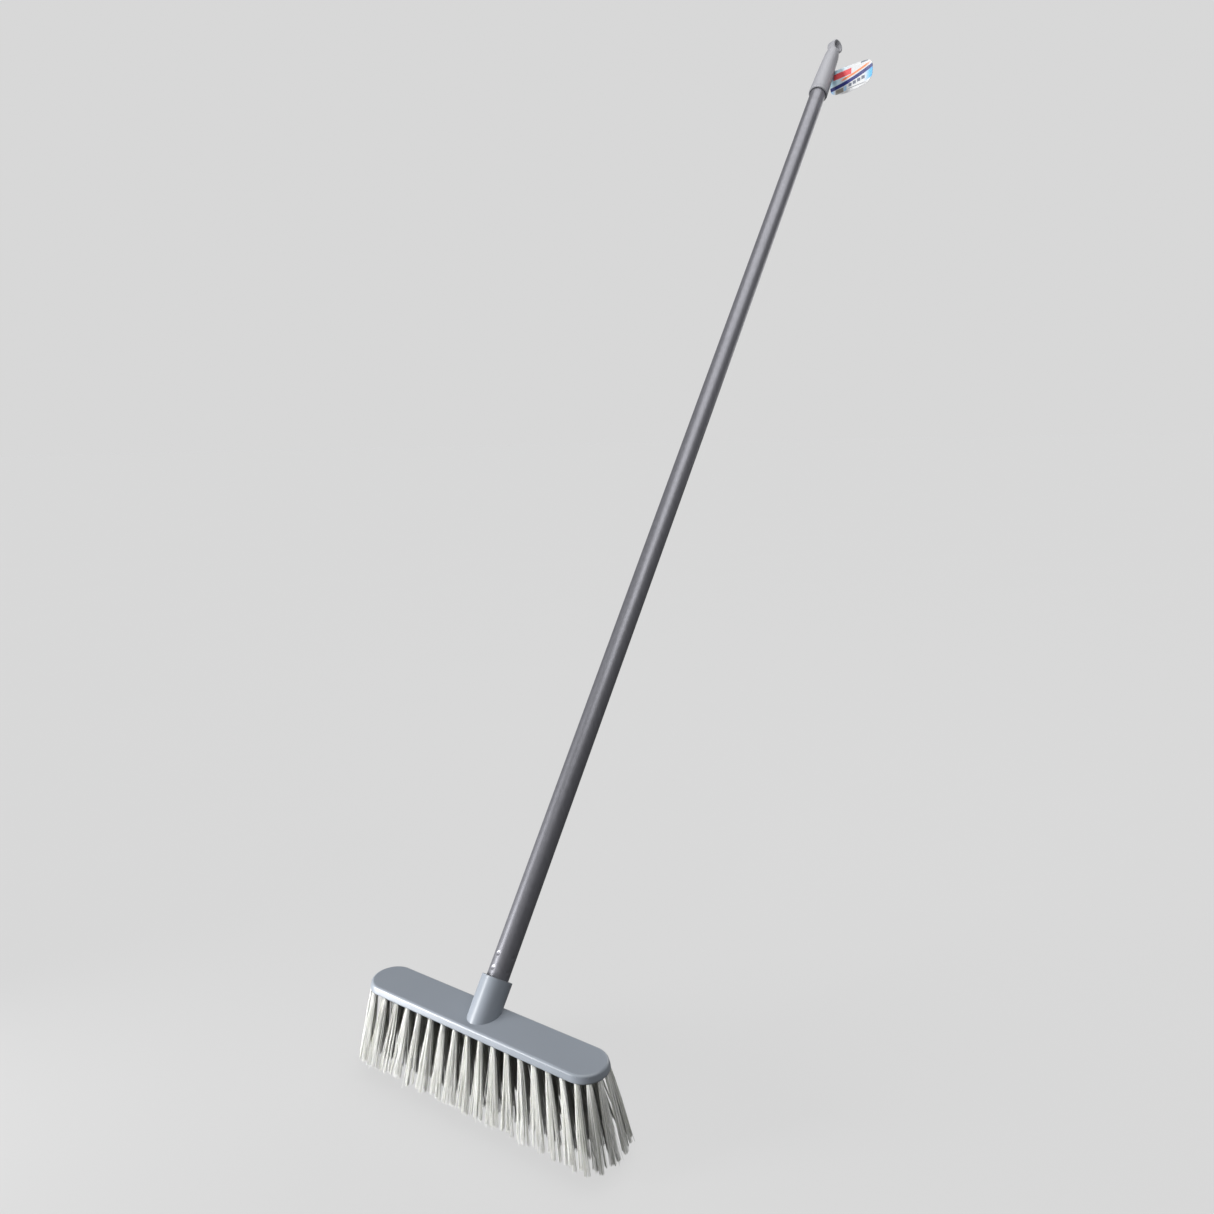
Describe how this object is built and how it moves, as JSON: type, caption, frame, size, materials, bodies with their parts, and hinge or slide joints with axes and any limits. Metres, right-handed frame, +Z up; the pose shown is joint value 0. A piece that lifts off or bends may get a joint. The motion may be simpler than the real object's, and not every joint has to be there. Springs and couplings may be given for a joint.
{
  "type": "household broom",
  "caption": "Household broom with a round-ended brush block, fanned tufts, an angled screw socket, a coated tube handle, a hanger cap and a card tag.",
  "frame": {"origin": "centre of the hanging eye in the handle's cap", "axes": "+X along the brush block, +Z up with the block level; the handle leans towards +Y as it rises"},
  "size_m": [0.3182, 0.8958, 1.1814],
  "materials": {
    "block": "satin slate-blue moulded plastic",
    "bristle": "ivory extruded bristle fibre",
    "coating": "smooth glossy grey plastic film on steel",
    "steel": "bare rolled steel",
    "insert": "black moulded plastic",
    "cap": "satin light-grey moulded plastic",
    "card": "printed gloss card"
  },
  "bodies": {
    "handle": {"tube_coating": "coating", "threaded_insert": "insert", "hanger_cap": "cap", "hang_tag": "card"},
    "tube_core": {"steel_tube": "steel"},
    "head": {"brush_block": "block", "inner_row_back": "bristle", "inner_row_front": "bristle", "inner_row_middle": "bristle", "outer_tuft_01": "bristle", "outer_tuft_02": "bristle", "outer_tuft_03": "bristle", "outer_tuft_04": "bristle", "outer_tuft_05": "bristle", "outer_tuft_06": "bristle", "outer_tuft_07": "bristle", "outer_tuft_08": "bristle", "outer_tuft_09": "bristle", "outer_tuft_10": "bristle", "outer_tuft_11": "bristle", "outer_tuft_12": "bristle", "outer_tuft_13": "bristle", "outer_tuft_14": "bristle", "outer_tuft_15": "bristle", "outer_tuft_16": "bristle", "outer_tuft_17": "bristle", "outer_tuft_18": "bristle", "outer_tuft_19": "bristle", "outer_tuft_20": "bristle", "outer_tuft_21": "bristle", "outer_tuft_22": "bristle", "outer_tuft_23": "bristle", "outer_tuft_24": "bristle", "outer_tuft_25": "bristle", "outer_tuft_26": "bristle", "outer_tuft_27": "bristle", "outer_tuft_28": "bristle", "outer_tuft_29": "bristle", "outer_tuft_30": "bristle", "outer_tuft_31": "bristle", "outer_tuft_32": "bristle", "outer_tuft_33": "bristle", "outer_tuft_34": "bristle", "outer_tuft_35": "bristle", "outer_tuft_36": "bristle", "outer_tuft_37": "bristle", "outer_tuft_38": "bristle", "outer_tuft_39": "bristle", "outer_tuft_40": "bristle", "outer_tuft_41": "bristle", "outer_tuft_42": "bristle"}
  },
  "joints": [
    {"name": "head_turn", "type": "hinge", "parent": "handle", "child": "tube_core", "pos_m": [0, -0.84459, -1.08883], "axis": [0, -0.6129, -0.7902], "range_deg": [0, 1800]},
    {"name": "head_travel", "type": "slide", "parent": "tube_core", "child": "head", "axis": [0, -0.6129, -0.7902], "range_m": [0, 0.0201]}
  ],
  "couplings": [
    {"joint": "head_travel", "follows": "head_turn", "m_per_rad": 0.00063662}
  ]
}
